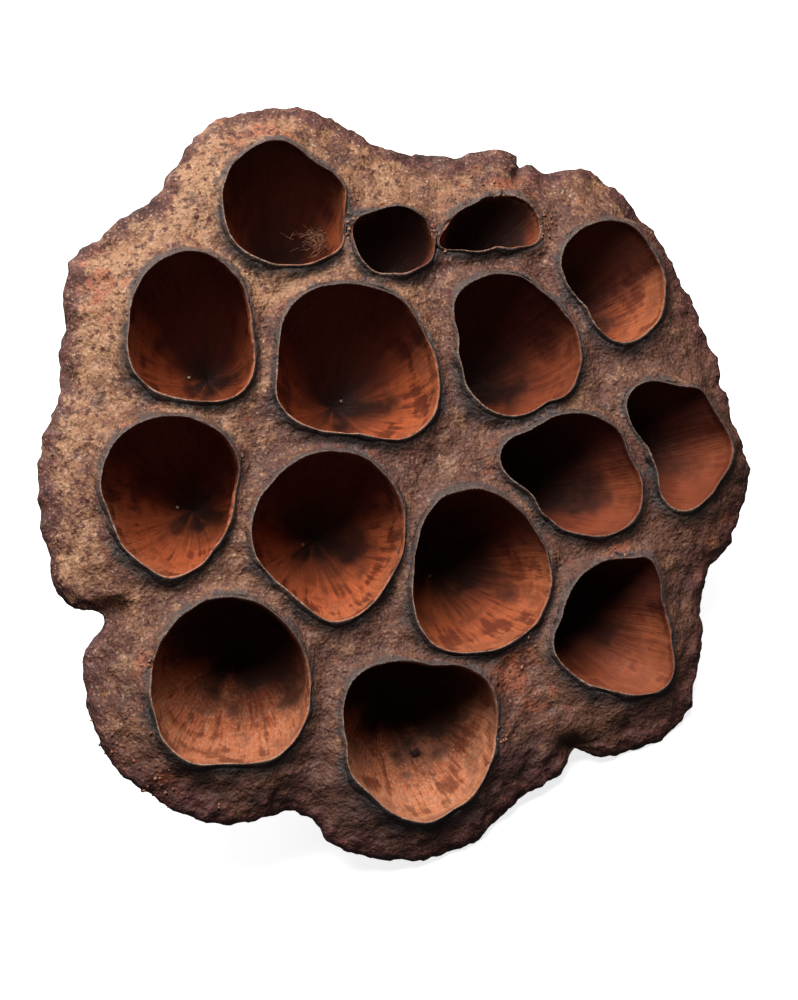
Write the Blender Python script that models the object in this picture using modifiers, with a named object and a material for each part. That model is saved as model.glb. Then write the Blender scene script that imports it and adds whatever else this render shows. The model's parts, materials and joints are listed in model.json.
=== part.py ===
"""A dried lotus pod: the seed head of a lotus, dried on its stem, with its seeds gone.

The pod grew as one piece, so it is one object: a lobed, slightly domed face with fifteen empty seed
cups, each in a raised lip, a rim that rolls over, a ribbed cone that bulges round the outer cups, and
a stump of the cut stem. It is modelled face up, with its axis on +Z and the middle of its face at the
origin, and is then laid on its side, where it rests on two lobes of the rim and on the stump.

Lengths here are millimetres and angles are degrees. They become metres when a mesh is made.
"""

from bisect import bisect_right
import math

import bmesh
import bpy
from mathutils import Matrix, Vector

MM = 0.001

# The mean half section: (reach from the axis, height), from the middle of the face, over the rolled
# rim and down the cone to the end of the stump. The face falls by FACE_DOME times the reach squared.
FACE_DOME = 0.0009
SECTION = (
    (0.0, 0.0), (9.0, -0.1), (18.0, -0.3), (26.5, -0.6), (32.0, -1.1), (35.0, -2.1), (36.6, -3.3),
    (37.0, -4.6), (36.2, -6.0), (33.6, -7.6), (30.6, -10.2), (27.4, -13.6), (23.6, -17.6),
    (19.4, -21.8), (15.4, -26.0), (11.6, -30.0), (8.4, -34.0), (6.4, -37.4), (5.5, -40.8), (5.15, -44.0),
    (0.0, -44.0),
)
BODY_SIDES = 90

# The lobed edge of the rim: (angle from +X, reach from the axis). The lobes are fullest at the rim and
# fade towards the middle of the face and down the cone.
RIM_HEIGHT = -4.6
MEAN_EDGE = 37.0
EDGE = (
    (2, 38.8), (14, 38.1), (26, 38.0), (44, 39.5), (54, 40.3), (59, 39.3), (63, 37.2), (71, 37.3),
    (77, 35.2), (86, 34.4), (93, 35.6), (102, 39.0), (109, 40.4), (119, 40.2), (130, 37.3), (145, 38.5),
    (161, 34.9), (169, 34.4), (177, 35.3), (190, 35.3), (201, 34.8), (206, 32.9), (211, 35.6),
    (217, 37.8), (227, 39.8), (236, 39.2), (246, 37.6), (255, 34.2), (263, 36.7), (273, 37.8),
    (284, 37.2), (292, 35.0), (302, 34.4), (310, 35.7), (323, 39.0), (333, 37.3), (345, 35.1),
    (353, 37.1),
)
LOBES_START = 20.0
LOBES_END = -36.0

# Each seed cup: the middle of its mouth, and the mouth's reach from there every 45 degrees from +X.
CUPS = (
    ((-11.3, 27.5), (6.1, 5.7, 6.1, 6.4, 6.2, 6.4, 6.1, 6.4)),
    ((0.2, 24.5), (4.0, 3.5, 3.2, 3.6, 4.4, 3.7, 3.5, 3.7)),
    ((10.4, 26.6), (4.8, 3.9, 2.8, 2.7, 4.6, 3.4, 2.4, 3.2)),
    ((22.9, 21.0), (5.6, 5.3, 6.2, 6.1, 4.9, 3.9, 5.9, 6.1)),
    ((-21.0, 14.7), (6.1, 6.9, 7.5, 6.5, 5.9, 7.1, 7.3, 7.4)),
    ((-4.1, 11.8), (8.1, 8.2, 7.7, 8.4, 7.9, 8.1, 7.3, 9.4)),
    ((13.0, 14.1), (6.6, 6.1, 7.0, 7.9, 6.4, 7.2, 6.6, 6.7)),
    ((18.4, 1.1), (7.1, 6.6, 6.1, 6.1, 6.6, 5.0, 5.8, 7.3)),
    ((30.2, 4.3), (5.4, 5.1, 6.2, 7.2, 3.8, 3.7, 6.5, 5.2)),
    ((-22.7, -2.4), (6.2, 8.4, 7.9, 7.6, 6.7, 6.7, 7.8, 6.4)),
    ((-6.7, -6.0), (7.4, 9.1, 8.4, 7.9, 7.9, 6.8, 7.9, 7.8)),
    ((8.7, -8.8), (7.2, 7.0, 7.9, 7.1, 6.8, 8.2, 8.2, 7.1)),
    ((22.9, -14.4), (5.0, 5.9, 6.8, 6.0, 6.2, 6.4, 6.3, 7.8)),
    ((-16.7, -20.4), (7.9, 7.8, 8.2, 7.3, 7.6, 9.2, 8.0, 8.2)),
    ((2.8, -26.1), (7.4, 8.9, 7.7, 8.9, 7.7, 7.3, 7.8, 7.2)),
)
CUP_SIDES = 24

# A wide cup is deeper, up to a limit, and every cup leans in towards one point far down the axis.
CUP_DEEPEST = 14.0
CUP_LEAST_DEPTH = 1.0
CUP_DEPTH_PER_REACH = 1.9
CUPS_MEET = 66.0

# The bowl of a cup: how late its wall turns in, how round its bottom is, and how far its belly swells.
# The rings are the parts of its depth at which its section is drawn.
BOWL_TURN = 1.7
BOWL_ROUND = 0.7
BOWL_BELLY = 0.12
CUP_RINGS = (0.0, 0.28, 0.52, 0.72, 0.87, 0.96)
CUTTER_TOP = 4.0

# The lip of a cup: how far it stands out from the mouth, and how high above the face, from its foot
# inside the pod to its crest.
LIP = ((2.2, -2.6), (0.95, 0.5), (0.4, 0.95))

# The cone: its wall outside the cups, and the ribs that run down it to the stump.
CONE_WALL = 2.4
BULGE_BLEND = 4.0
RIBS = 22
RIB_HEIGHT = 0.45
RIBS_START = -6.5
RIBS_FULL = -12.0
RIBS_END = -37.0
STUMP_END = -44.0

# The pod lying down: rolled about its own axis until the rim's two lowest lobes face down, tipped over
# onto them and the stump, and turned so that its face looks to -Y. Its three feet are worn flat.
ROLL = -28.9
TIP = 51.7
HEADING = 19.3
FOOT_WEAR = 0.35

POD_BROWN = (0.16, 0.09, 0.06, 1.0)
POD_ROUGHNESS = 0.75
SHARP_EDGE = 40.0

# Points of a turned shape that meet on its axis are merged within this many metres.
MERGE = 0.00001


def blend(start, end, value):
    """0 at start, 1 at end, and a smooth step between."""
    part = min(max((value - start) / (end - start), 0.0), 1.0)
    return part * part * (3.0 - 2.0 * part)


def soft_max(one, other, width):
    """The larger of two lengths, rounded over where they are nearly alike."""
    near = max(width - abs(one - other), 0.0) / width
    return max(one, other) + 0.25 * width * near * near


def around(points, angle):
    """The reach at an angle on a smooth closed curve through (angle, reach) points."""
    place = bisect_right(points, (angle % 360.0, math.inf)) - 1
    before, here, after, beyond = (points[(place + k) % len(points)] for k in (-1, 0, 1, 2))
    span = (after[0] - here[0]) % 360.0
    part = (angle - here[0]) % 360.0 / span
    leaving = span * (after[1] - before[1]) / ((after[0] - before[0]) % 360.0)
    arriving = span * (beyond[1] - here[1]) / ((beyond[0] - here[0]) % 360.0)
    rise = after[1] - here[1]
    bend = part * (3.0 * rise - 2.0 * leaving - arriving + part * (leaving + arriving - 2.0 * rise))
    return here[1] + part * (leaving + bend)


def mouth(reaches, angle):
    """The reach of a cup's mouth at an angle."""
    return around([(45.0 * k, reach) for k, reach in enumerate(reaches)], angle)


def mean(values):
    return sum(values) / len(values)


def cup_depth(reaches):
    return min(CUP_DEEPEST, CUP_LEAST_DEPTH + CUP_DEPTH_PER_REACH * mean(reaches))


def cup_width(part):
    """The width of a cup against its mouth, at a part of its depth: a bowl with a rounded bottom."""
    return (1.0 - part**BOWL_TURN) ** BOWL_ROUND * (1.0 + BOWL_BELLY * part)


def face_height(reach):
    """The height of the domed face at a reach from the axis, with the rim's roll left out."""
    return -FACE_DOME * reach * reach


def bulge(angle, height):
    """How far the cone must reach at an angle and height to keep its wall round the cups."""
    furthest = 0.0
    along = Vector((math.cos(math.radians(angle)), math.sin(math.radians(angle))))
    for centre, reaches in CUPS:
        part = -height / cup_depth(reaches)
        if not 0.0 <= part < 1.0:
            continue
        middle = Vector(centre) * (1.0 + height / CUPS_MEET)
        radius = mean(reaches) * cup_width(part) + CONE_WALL
        off_line = along.x * middle.y - along.y * middle.x
        if abs(off_line) < radius and middle.dot(along) > 0.0:
            furthest = max(furthest, middle.dot(along) + math.sqrt(radius**2 - off_line**2))
    return furthest


def body_point(point):
    """A point of the turned body, moved out to the lobes, the bulges and the ribs."""
    reach = math.hypot(point.x, point.y)
    if reach == 0.0:
        return point
    angle = math.degrees(math.atan2(point.y, point.x))
    lobes = blend(0.0, LOBES_START, reach) * blend(LOBES_END, RIM_HEIGHT, point.z)
    reach *= 1.0 + lobes * (around(EDGE, angle) / MEAN_EDGE - 1.0)
    if point.z < RIBS_START:
        reach = soft_max(reach, bulge(angle, point.z), BULGE_BLEND)
        ribs = blend(RIBS_START, RIBS_FULL, point.z) * blend(STUMP_END, RIBS_END, point.z)
        reach += RIB_HEIGHT * ribs * math.cos(math.radians(RIBS * angle))
    return Vector((reach * math.cos(math.radians(angle)), reach * math.sin(math.radians(angle)), point.z))


def turned(name, section, sides, move):
    """A profile turned about +Z with a Screw modifier, whose points are then moved by a formula."""
    profile = bpy.data.meshes.new(name + "_profile")
    points = [(reach * MM, 0.0, height * MM) for reach, height in section]
    profile.from_pydata(points, [(k, k + 1) for k in range(len(points) - 1)], [])
    spun = bpy.data.objects.new(name + "_profile", profile)
    bpy.context.scene.collection.objects.link(spun)
    screw = spun.modifiers.new("Turn", "SCREW")
    screw.steps = screw.render_steps = sides
    screw.use_merge_vertices = True
    screw.merge_threshold = MERGE
    graph = bpy.context.evaluated_depsgraph_get()
    mesh = bpy.data.meshes.new_from_object(spun.evaluated_get(graph))
    mesh.name = name
    bpy.data.objects.remove(spun)
    for vertex in mesh.vertices:
        vertex.co = move(vertex.co / MM) * MM
    return bpy.data.objects.new(name, mesh)


def mouth_point(centre, reaches, point, grow, depth_part, height):
    """The place of a ring's point: round a cup's mouth, grown by a width, at a part of its depth."""
    angle = math.degrees(math.atan2(point.y, point.x))
    reach = mouth(reaches, angle) * (1.0 - depth_part) + mean(reaches) * depth_part
    reach = (reach * cup_width(depth_part) + grow) * math.hypot(point.x, point.y)
    middle = Vector(centre) * (1.0 - depth_part * cup_depth(reaches) / CUPS_MEET)
    x = middle.x + reach * math.cos(math.radians(angle))
    y = middle.y + reach * math.sin(math.radians(angle))
    return Vector((x, y, height + face_height(math.hypot(x, y))))


def lip(name, centre, reaches):
    """The solid that the lip of a cup is cut from: a mound over the whole mouth."""
    section = [(0.0, LIP[-1][1])] + [(1.0, height) for _, height in reversed(LIP)] + [(0.0, LIP[0][1])]
    grow = {round(height, 3): width for width, height in LIP}

    def move(point):
        return mouth_point(centre, reaches, point, grow[round(point.z, 3)], 0.0, point.z)

    return turned(name, section, CUP_SIDES, move)


def cup(name, centre, reaches):
    """The solid that hollows a seed cup, open at the top past its lip."""
    depth = cup_depth(reaches)
    section = [(0.0, CUTTER_TOP), (1.0, CUTTER_TOP)] + [(1.0, -part * depth) for part in CUP_RINGS]
    section.append((0.0, -depth))

    def move(point):
        part = min(max(-point.z / depth, 0.0), 1.0)
        return mouth_point(centre, reaches, point, 0.0, part, point.z)

    return turned(name, section, CUP_SIDES, move)


def combine(body, shapes, operation):
    """Joins shapes to the body, or cuts them from it, in one Boolean, and removes them."""
    tools = bpy.data.collections.new(operation.lower())
    bpy.context.scene.collection.children.link(tools)
    for shape in shapes:
        tools.objects.link(shape)
    boolean = body.modifiers.new(operation, "BOOLEAN")
    boolean.operation = operation
    boolean.operand_type = "COLLECTION"
    boolean.collection = tools
    boolean.solver = "EXACT"
    graph = bpy.context.evaluated_depsgraph_get()
    result = bpy.data.meshes.new_from_object(body.evaluated_get(graph))
    body.modifiers.remove(boolean)
    body.data = result
    for shape in shapes:
        bpy.data.objects.remove(shape)
    bpy.data.collections.remove(tools)


def lay_down(body):
    """Lays the pod on its side, over the origin, and wears its three feet flat at the surface."""
    turn = Matrix.Rotation(math.radians(TIP), 4, "X") @ Matrix.Rotation(math.radians(ROLL), 4, "Z")
    mesh = body.data
    mesh.transform(Matrix.Rotation(math.radians(HEADING), 4, "Z") @ turn)
    places = [vertex.co for vertex in mesh.vertices]
    low = Vector(min(place[axis] for place in places) for axis in range(3))
    high = Vector(max(place[axis] for place in places) for axis in range(3))
    middle = 0.5 * (low + high)
    mesh.transform(Matrix.Translation((-middle.x, -middle.y, -low.z - FOOT_WEAR * MM)))
    worn = bmesh.new()
    worn.from_mesh(mesh)
    everything = worn.verts[:] + worn.edges[:] + worn.faces[:]
    bmesh.ops.bisect_plane(worn, geom=everything, plane_co=(0, 0, 0), plane_no=(0, 0, 1), clear_inner=True)
    open_edges = [edge for edge in worn.edges if edge.is_boundary]
    bmesh.ops.holes_fill(worn, edges=open_edges, sides=0)
    worn.to_mesh(mesh)
    worn.free()


def pod_material():
    """The pod's leathery brown skin."""
    material = bpy.data.materials.new("pod_skin")
    material.use_nodes = True
    shader = material.node_tree.nodes["Principled BSDF"]
    shader.inputs["Base Color"].default_value = POD_BROWN
    shader.inputs["Roughness"].default_value = POD_ROUGHNESS
    shader.inputs["Metallic"].default_value = 0.0
    return material


def build():
    for old in list(bpy.data.objects):
        bpy.data.objects.remove(old)
    pod_parts = bpy.data.collections.new("dried_lotus_pod")
    bpy.context.scene.collection.children.link(pod_parts)
    pod = turned("lotus_pod", SECTION, BODY_SIDES, body_point)
    pod_parts.objects.link(pod)
    combine(pod, [lip(f"lip_{k}", *spot) for k, spot in enumerate(CUPS)], "UNION")
    combine(pod, [cup(f"cup_{k}", *spot) for k, spot in enumerate(CUPS)], "DIFFERENCE")
    lay_down(pod)
    pod.data.materials.clear()
    pod.data.materials.append(pod_material())
    pod.data.shade_smooth()
    pod.data.set_sharp_from_angle(angle=math.radians(SHARP_EDGE))


build()
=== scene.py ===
"""The looks of a dried lotus pod: a leathery receptacle, its fifteen empty seed cups, the scars and
fibres that the seeds left in them, the crumbs of its worn skin, and the plain white ground under it.

Lengths are millimetres and angles are degrees, in a frame with the pod face up and the middle of its
face at the origin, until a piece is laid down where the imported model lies.
"""

import json
import math
import random
from bisect import bisect_right

import bmesh
import bpy
import numpy as np
from mathutils import Matrix, Vector, noise
from mathutils.geometry import interpolate_bezier

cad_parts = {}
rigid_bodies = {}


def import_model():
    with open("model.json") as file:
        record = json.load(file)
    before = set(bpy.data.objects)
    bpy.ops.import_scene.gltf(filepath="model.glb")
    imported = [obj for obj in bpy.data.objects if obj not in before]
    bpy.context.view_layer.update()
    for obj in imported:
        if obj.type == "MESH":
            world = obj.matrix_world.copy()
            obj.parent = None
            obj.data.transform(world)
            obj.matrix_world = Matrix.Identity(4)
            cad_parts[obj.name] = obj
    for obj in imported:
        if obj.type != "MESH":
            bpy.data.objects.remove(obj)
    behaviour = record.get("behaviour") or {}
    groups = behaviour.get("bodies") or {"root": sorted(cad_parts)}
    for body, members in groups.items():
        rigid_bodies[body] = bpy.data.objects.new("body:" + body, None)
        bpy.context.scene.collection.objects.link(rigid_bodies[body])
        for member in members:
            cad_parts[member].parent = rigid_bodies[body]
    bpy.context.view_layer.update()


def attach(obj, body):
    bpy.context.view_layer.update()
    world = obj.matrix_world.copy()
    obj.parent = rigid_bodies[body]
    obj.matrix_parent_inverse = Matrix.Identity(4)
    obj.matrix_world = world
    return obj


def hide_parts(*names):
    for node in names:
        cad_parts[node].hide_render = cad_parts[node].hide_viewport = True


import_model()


# The receptacle: the swollen end of the flower's stalk, which held the seeds. It grew as one spongy
# piece and dried on its stalk: the face sank between the cups, the lobed rim rolled over and crumbled,
# and the cone shrank on to its ribs. The stalk is cut to a stump, whose air channels show at its end.
SECTION = (
    (0.0, 0.0), (9.0, -0.1), (18.0, -0.3), (26.5, -0.6), (32.0, -1.1), (35.0, -2.1), (36.6, -3.3),
    (37.0, -4.6), (36.2, -6.0), (33.6, -7.6), (30.6, -10.2), (27.4, -13.6), (23.6, -17.6),
    (19.4, -21.8), (15.4, -26.0), (11.6, -30.0), (8.4, -34.0), (6.4, -37.4), (5.5, -40.8), (5.15, -44.0),
)
SECTION_STEPS = 4
BODY_SIDES = 240
FACE_DOME = 0.0009

RIM_HEIGHT = -4.6
MEAN_EDGE = 37.0
EDGE = (
    (2, 38.8), (14, 38.1), (26, 38.0), (44, 39.5), (54, 40.3), (59, 39.3), (63, 37.2), (71, 37.3),
    (77, 35.2), (86, 34.4), (93, 35.6), (102, 39.0), (109, 40.4), (119, 40.2), (130, 37.3), (145, 38.5),
    (161, 34.9), (169, 34.4), (177, 35.3), (190, 35.3), (201, 34.8), (206, 32.9), (211, 35.6),
    (217, 37.8), (227, 39.8), (236, 39.2), (246, 37.6), (255, 34.2), (263, 36.7), (273, 37.8),
    (284, 37.2), (292, 35.0), (302, 34.4), (310, 35.7), (323, 39.0), (333, 37.3), (345, 35.1),
    (353, 37.1),
)
LOBES_START, LOBES_END = 20.0, -36.0

# Each cup: its letter, the middle of its mouth, and the mouth's reach every 45 degrees from +X.
CUPS = (
    ("a", (-11.3, 27.5), (6.1, 5.7, 6.1, 6.4, 6.2, 6.4, 6.1, 6.4)),
    ("b", (0.2, 24.5), (4.0, 3.5, 3.2, 3.6, 4.4, 3.7, 3.5, 3.7)),
    ("c", (10.4, 26.6), (4.8, 3.9, 2.8, 2.7, 4.6, 3.4, 2.4, 3.2)),
    ("d", (22.9, 21.0), (5.6, 5.3, 6.2, 6.1, 4.9, 3.9, 5.9, 6.1)),
    ("e", (-21.0, 14.7), (6.1, 6.9, 7.5, 6.5, 5.9, 7.1, 7.3, 7.4)),
    ("f", (-4.1, 11.8), (8.1, 8.2, 7.7, 8.4, 7.9, 8.1, 7.3, 9.4)),
    ("g", (13.0, 14.1), (6.6, 6.1, 7.0, 7.9, 6.4, 7.2, 6.6, 6.7)),
    ("h", (18.4, 1.1), (7.1, 6.6, 6.1, 6.1, 6.6, 5.0, 5.8, 7.3)),
    ("i", (30.2, 4.3), (5.4, 5.1, 6.2, 7.2, 3.8, 3.7, 6.5, 5.2)),
    ("j", (-22.7, -2.4), (6.2, 8.4, 7.9, 7.6, 6.7, 6.7, 7.8, 6.4)),
    ("k", (-6.7, -6.0), (7.4, 9.1, 8.4, 7.9, 7.9, 6.8, 7.9, 7.8)),
    ("l", (8.7, -8.8), (7.2, 7.0, 7.9, 7.1, 6.8, 8.2, 8.2, 7.1)),
    ("m", (22.9, -14.4), (5.0, 5.9, 6.8, 6.0, 6.2, 6.4, 6.3, 7.8)),
    ("n", (-16.7, -20.4), (7.9, 7.8, 8.2, 7.3, 7.6, 9.2, 8.0, 8.2)),
    ("o", (2.8, -26.1), (7.4, 8.9, 7.7, 8.9, 7.7, 7.3, 7.8, 7.2)),
)
# Where a mouth dried to a corner or to a flatter side: the angle and the mouth's reach there.
CORNERS = {
    "a": ((21, 6.3), (58, 5.4), (92, 6.5), (325, 6.8)),
    "b": ((157, 4.4), (235, 4.0)),
    "c": ((181, 4.5), (204, 6.1), (222, 4.3), (339, 4.7)),
    "d": ((41, 5.7), (76, 6.4), (161, 5.7)),
    "e": ((310, 8.1),),
    "f": ((23, 7.5), (54, 7.8), (212, 8.9)),
    "g": ((13, 6.1), (61, 5.8), (143, 8.0), (236, 7.4), (261, 7.3), (295, 6.3)),
    "h": ((20, 6.3), (168, 7.8), (204, 4.9), (327, 7.8)),
    "i": ((70, 6.2), (137, 7.6), (248, 5.6)),
    "j": ((36, 7.7), (64, 8.0), (203, 6.2), (243, 6.9)),
    "k": ((61, 8.5), (244, 7.0), (274, 8.3), (324, 7.1)),
    "l": ((121, 7.9), (239, 8.9), (309, 7.7)),
    "m": ((27, 5.6), (61, 7.8), (75, 7.3), (168, 5.7), (202, 6.9), (345, 6.2)),
    "n": ((132, 7.8), (240, 8.7), (307, 8.6)),
    "o": ((84, 7.5), (116, 8.6), (144, 9.1), (202, 7.8)),
}
# A corner takes the place of an even point that is closer to it than this, in degrees.
CORNER_ROOM = 16.0
CUP_DEEPEST, CUP_LEAST_DEPTH, CUP_DEPTH_PER_REACH, CUPS_MEET = 14.0, 1.0, 1.9, 66.0
BOWL_TURN, BOWL_ROUND, BOWL_BELLY = 1.7, 0.7, 0.12

CONE_WALL, BULGE_BLEND = 2.4, 4.0
RIBS, RIB_HEIGHT = 22, 0.45
RIBS_START, RIBS_FULL, RIBS_END, STUMP_END = -6.5, -12.0, -37.0, -44.0

# How fine the skin is, how far the hollows stand off from the cups' walls, and the stalk's channels.
SKIN_GRID = 0.425
HOLLOW_EDGE, HOLLOW_WALL, HOLLOW_FLOOR, HOLLOW_TOP, HOLLOW_SIDES = 0.4, 0.8, 0.8, 4.0, 100
HOLLOW_RINGS = (0.0, 0.15, 0.3, 0.45, 0.6, 0.73, 0.84, 0.92, 0.97)
CHANNELS, CHANNEL_RING, CHANNEL_RADIUS, CHANNEL_DEPTH = 7, 2.9, 0.7, 2.5

# The pod lies on two lobes of its rim and on its stump: its roll, tip and heading, and its face's middle.
ROLL, TIP, HEADING = -28.9, 51.7, 19.3
FACE_MIDDLE = (-0.12, -6.549, 30.975)
MM = 0.001
LAID_DOWN = (
    Matrix.Scale(MM, 4)
    @ Matrix.Translation(FACE_MIDDLE)
    @ Matrix.Rotation(math.radians(HEADING), 4, "Z")
    @ Matrix.Rotation(math.radians(TIP), 4, "X")
    @ Matrix.Rotation(math.radians(ROLL), 4, "Z")
)


def blend(start, end, value):
    """0 at start, 1 at end, and a smooth step between."""
    part = np.clip((value - start) / (end - start), 0.0, 1.0)
    return part * part * (3.0 - 2.0 * part)


def around(points, angle):
    """The reach at an angle on a smooth closed curve through (angle, reach) points."""
    place = bisect_right(points, (angle % 360.0, math.inf)) - 1
    before, here, after, beyond = (points[(place + k) % len(points)] for k in (-1, 0, 1, 2))
    span = (after[0] - here[0]) % 360.0
    part = (angle - here[0]) % 360.0 / span
    leaving = span * (after[1] - before[1]) / ((after[0] - before[0]) % 360.0)
    arriving = span * (beyond[1] - here[1]) / ((beyond[0] - here[0]) % 360.0)
    rise = after[1] - here[1]
    bend = part * (3.0 * rise - 2.0 * leaving - arriving + part * (leaving + arriving - 2.0 * rise))
    return here[1] + part * (leaving + bend)


def outline(points):
    """A function that gives the reach of a closed outline at angles in radians."""
    whole = np.arange(361.0)
    reaches = np.array([around(points, angle) for angle in whole])
    return lambda angles: np.interp(np.degrees(angles) % 360.0, whole, reaches)


def lumps(places, size, shift=0.0, octaves=1):
    """Noise of about -1 to 1 at each place, with lumps of a size in millimetres and finer ones on them."""
    return np.array([noise.fractal(Vector(place), 0.9, 2.0, octaves) for place in places / size + shift])


def round_axis(places):
    """The reach, angle and height of places."""
    return np.hypot(places[:, 0], places[:, 1]), np.arctan2(places[:, 1], places[:, 0]), places[:, 2]


def ring_places(angles, radius, rest):
    """Places on a ring, so that a pattern on them runs round without a seam."""
    return np.stack([radius * np.cos(angles), radius * np.sin(angles), rest], axis=1)


def turned_from(angles, angle):
    """How far round angles lie from one, from -180 to 180 degrees."""
    return (angles - angle + 180.0) % 360.0 - 180.0


def mouth_points(letter, reaches):
    """A mouth's points: its corners, and its even points that aren't close to one."""
    points = list(CORNERS[letter])
    for k, reach in enumerate(reaches):
        angle = 45.0 * k
        if all(abs(turned_from(angle, corner)) > CORNER_ROOM for corner, _ in CORNERS[letter]):
            points.append((angle, reach))
    return sorted(points)


EDGE_AT = outline(EDGE)
MOUTH_AT = {letter: outline(mouth_points(letter, reaches)) for letter, _, reaches in CUPS}
MEAN_REACH = {letter: sum(reaches) / len(reaches) for letter, _, reaches in CUPS}
DEPTH = {
    letter: min(CUP_DEEPEST, CUP_LEAST_DEPTH + CUP_DEPTH_PER_REACH * reach)
    for letter, reach in MEAN_REACH.items()
}


def cup_width(part):
    """The width of a cup against its mouth, at a part of its depth: a bowl with a rounded bottom."""
    return (1.0 - part**BOWL_TURN) ** BOWL_ROUND * (1.0 + BOWL_BELLY * part)


def bulge(angles, heights):
    """How far the cone must reach to keep its wall round the cups."""
    furthest = np.zeros(len(angles))
    for letter, centre, _ in CUPS:
        part = np.clip(-heights / DEPTH[letter], 0.0, 1.0)
        lean = 1.0 + heights / CUPS_MEET
        radius = MEAN_REACH[letter] * cup_width(part) + CONE_WALL
        along = (centre[0] * np.cos(angles) + centre[1] * np.sin(angles)) * lean
        off_line = (centre[1] * np.cos(angles) - centre[0] * np.sin(angles)) * lean
        reach = along + np.sqrt(np.maximum(radius**2 - off_line**2, 0.0))
        met = (heights <= 0.0) & (part < 1.0) & (abs(off_line) < radius) & (along > 0.0)
        furthest = np.where(met, np.maximum(furthest, reach), furthest)
    return furthest


def grown(places):
    """The turned body, moved out to its lobes, its bulges and its ribs."""
    reach, angles, heights = round_axis(places)
    lobes = blend(0.0, LOBES_START, reach) * blend(LOBES_END, RIM_HEIGHT, heights)
    lobed = reach * (1.0 + lobes * (EDGE_AT(angles) / MEAN_EDGE - 1.0))
    wide = bulge(angles, heights)
    near = np.maximum(BULGE_BLEND - abs(lobed - wide), 0.0) / BULGE_BLEND
    full = np.maximum(lobed, wide) + 0.25 * BULGE_BLEND * near * near
    ribs = blend(RIBS_START, RIBS_FULL, heights) * blend(STUMP_END, RIBS_END, heights)
    ribbed = full + RIB_HEIGHT * ribs * np.cos(RIBS * angles)
    reach = np.where(reach > 0.0, np.where(heights < RIBS_START, ribbed, lobed), 0.0)
    return np.stack([reach * np.cos(angles), reach * np.sin(angles), heights], axis=1)


def smooth_line(corners, steps):
    """Points on a smooth curve through some corners, with so many steps from each to the next."""
    corners = [Vector(corner) for corner in corners]
    last = len(corners) - 1
    slopes = [(corners[min(k + 1, last)] - corners[max(k - 1, 0)]) / 6.0 for k in range(last + 1)]
    line = []
    for k in range(last):
        handles = corners[k] + slopes[k], corners[k + 1] - slopes[k + 1]
        line += interpolate_bezier(corners[k], *handles, corners[k + 1], steps + 1)[:-1]
    return line + corners[-1:]


def spun(section, sides):
    """A bmesh turned about +Z from (reach, height) points, closed on the axis."""
    shape = bmesh.new()
    points = [shape.verts.new((reach, 0.0, height)) for reach, height in section]
    edges = [shape.edges.new(pair) for pair in zip(points, points[1:])]
    turn = {"axis": (0, 0, 1), "cent": (0, 0, 0), "angle": math.tau, "steps": sides}
    bmesh.ops.spin(shape, geom=points + edges, use_merge=True, **turn)
    bmesh.ops.remove_doubles(shape, verts=shape.verts, dist=0.0001)
    bmesh.ops.recalc_face_normals(shape, faces=shape.faces)
    return shape


def read_places(mesh, what="co"):
    """The mesh's places, or its normals, as rows of x, y and z."""
    flat = np.empty(len(mesh.vertices) * 3)
    mesh.vertices.foreach_get(what, flat)
    return flat.reshape(-1, 3)


def place_points(mesh, places):
    """Moves the points of a mesh."""
    mesh.vertices.foreach_set("co", places.ravel())
    mesh.update()


def piece_from(name, shape):
    """A new object in the scene from a bmesh."""
    mesh = bpy.data.meshes.new(name)
    shape.to_mesh(mesh)
    shape.free()
    piece = bpy.data.objects.new(name, mesh)
    bpy.context.scene.collection.objects.link(piece)
    return piece


def finish_modifiers(piece):
    """Makes the piece's mesh what its modifiers show, and takes them off."""
    graph = bpy.context.evaluated_depsgraph_get()
    mesh = bpy.data.meshes.new_from_object(piece.evaluated_get(graph))
    piece.modifiers.clear()
    piece.data = mesh
    return mesh


def mark(mesh, name, values):
    """Keeps a number, or a vector, for each point, for the material to read."""
    kind, field = ("FLOAT_VECTOR", "vector") if values.ndim == 2 else ("FLOAT", "value")
    mesh.attributes.new(name, kind, "POINT").data.foreach_set(field, values.ravel().astype(np.float32))


def lay_down(mesh):
    """Lays a mesh where the pod lies, and flattens on the ground what would reach below it."""
    mesh.transform(LAID_DOWN)
    places = read_places(mesh)
    places[:, 2] = np.maximum(places[:, 2], 0.0)
    place_points(mesh, places)
    mesh.shade_smooth()


# Where a mouth tore: its cup, the angle, the half width, and the part of the lip's height that is gone.
TORN = (
    ("a", -16.0, 14.0, 1.3), ("b", 167.0, 18.0, 1.2), ("b", 11.0, 22.0, 1.2), ("c", 192.0, 20.0, 1.2),
    ("c", 72.0, 40.0, 0.7), ("c", 4.0, 25.0, 0.5), ("m", 87.0, 16.0, 0.4), ("n", 169.0, 9.0, 0.9),
    ("o", 5.0, 14.0, 0.4),
)


def torn(letter, angles):
    """The part of a lip's height that is gone, at angles round the mouth."""
    gone = np.zeros(len(angles))
    for cup, angle, half_width, part in TORN:
        if cup == letter:
            off = turned_from(np.degrees(angles), angle)
            gone += part * np.exp(-((off / half_width) ** 2))
    return gone


def mouth_distance(places, but=None):
    """The distance out from the nearest mouth, how far that side faces down, and how torn it is."""
    nearest, facing, gone = np.full(len(places), 99.0), np.zeros(len(places)), np.zeros(len(places))
    for letter, centre, _ in CUPS:
        if letter == but:
            continue
        off = places[:, :2] - centre
        angles = np.arctan2(off[:, 1], off[:, 0])
        gap = np.hypot(*off.T) - MOUTH_AT[letter](angles)
        facing = np.where(gap < nearest, -np.sin(angles), facing)
        gone = np.where(gap < nearest, torn(letter, angles), gone)
        nearest = np.minimum(gap, nearest)
    return nearest, facing, gone


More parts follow.
